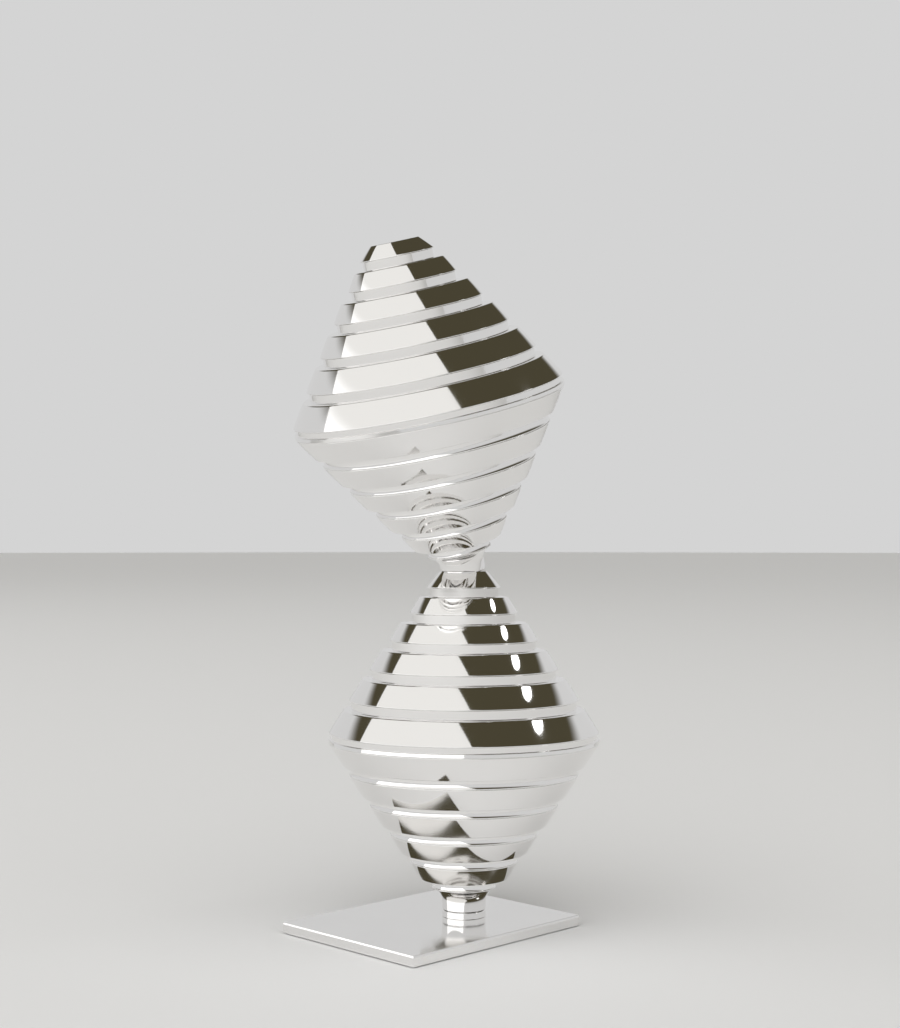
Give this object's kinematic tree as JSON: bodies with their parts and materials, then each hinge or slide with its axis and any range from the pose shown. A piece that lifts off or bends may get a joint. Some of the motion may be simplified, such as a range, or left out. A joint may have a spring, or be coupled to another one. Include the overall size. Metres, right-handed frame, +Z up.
{
  "type": "magnetic desk sculpture",
  "caption": "Free-standing mirror-bright desk sculpture: two stepped double cones, one on the other, on a thin rectangular plate; the upper one leans on a magnetic dome seat.",
  "frame": {"origin": "on the axis of the lower double cone, on the pad's underside, where the sculpture meets the desk", "axes": "+Z up along the lower double cone's axis, +X along the plate's long side away from the lean, +Y along its short side"},
  "size_m": [0.0932, 0.08, 0.201],
  "materials": {
    "mirror_aluminium": "polished",
    "plate_mirror": "polished",
    "stud_steel": "polished",
    "dark_steel": "satin",
    "bronze": "satin",
    "magnet_nickel": "gloss",
    "liner_acetal": "satin",
    "tube_aluminium": "satin",
    "felt": "matte"
  },
  "bodies": {
    "base": {"foot_pad": "felt", "base_plate": "plate_mirror", "base_pin": "stud_steel", "base_screw": "dark_steel", "base_clip": "dark_steel"},
    "lower_bush": {"lower_bush": "bronze"},
    "lower_cone": {"lower_neck": "mirror_aluminium", "lower_core_tube": "tube_aluminium", "lower_pin_magnet": "magnet_nickel", "lower_equator_ring": "mirror_aluminium", "lower_under_tier_1": "mirror_aluminium", "lower_under_tier_2": "mirror_aluminium", "lower_under_tier_3": "mirror_aluminium", "lower_under_tier_4": "mirror_aluminium", "lower_under_tier_5": "mirror_aluminium", "lower_top_tier_1": "mirror_aluminium", "lower_top_tier_2": "mirror_aluminium", "lower_top_tier_3": "mirror_aluminium", "lower_top_tier_4": "mirror_aluminium", "lower_top_tier_5": "mirror_aluminium", "lower_tip": "mirror_aluminium", "seat_magnet": "magnet_nickel"},
    "seat_liner": {"seat_liner": "liner_acetal"},
    "dome_stud": {"dome_stud": "stud_steel", "dome_clip": "dark_steel"},
    "upper_bush": {"upper_bush": "bronze"},
    "upper_cone": {"upper_neck": "mirror_aluminium", "upper_core_tube": "tube_aluminium", "upper_pin_magnet": "magnet_nickel", "upper_equator_ring": "mirror_aluminium", "upper_under_tier_1": "mirror_aluminium", "upper_under_tier_2": "mirror_aluminium", "upper_under_tier_3": "mirror_aluminium", "upper_under_tier_4": "mirror_aluminium", "upper_under_tier_5": "mirror_aluminium", "upper_top_tier_1": "mirror_aluminium", "upper_top_tier_2": "mirror_aluminium", "upper_top_tier_3": "mirror_aluminium", "upper_top_tier_4": "mirror_aluminium", "upper_top_tier_5": "mirror_aluminium", "upper_cap": "mirror_aluminium"}
  },
  "joints": [
    {"name": "lower_spin", "type": "hinge", "parent": "base", "child": "lower_bush", "pos_m": [0, 0, 0.0053], "axis": [0, 0, 1], "continuous": true},
    {"name": "lower_lift", "type": "slide", "parent": "lower_bush", "child": "lower_cone", "axis": [0, 0, 1], "range_m": [0, 0.02]},
    {"name": "neck_turn", "type": "hinge", "parent": "lower_cone", "child": "seat_liner", "pos_m": [0, 0, 0.10465], "axis": [0, 0, 1], "continuous": true},
    {"name": "neck_lean", "type": "hinge", "parent": "seat_liner", "child": "dome_stud", "pos_m": [0, 0, 0.10465], "axis": [0, -1, 0], "range_deg": [-33.7, 0.3]},
    {"name": "upper_spin", "type": "hinge", "parent": "dome_stud", "child": "upper_bush", "pos_m": [0, 0, 0.10465], "axis": [-0.2874, 0, 0.9578], "continuous": true},
    {"name": "upper_lift", "type": "slide", "parent": "upper_bush", "child": "upper_cone", "axis": [-0.2874, 0, 0.9578], "range_m": [0, 0.02]}
  ]
}
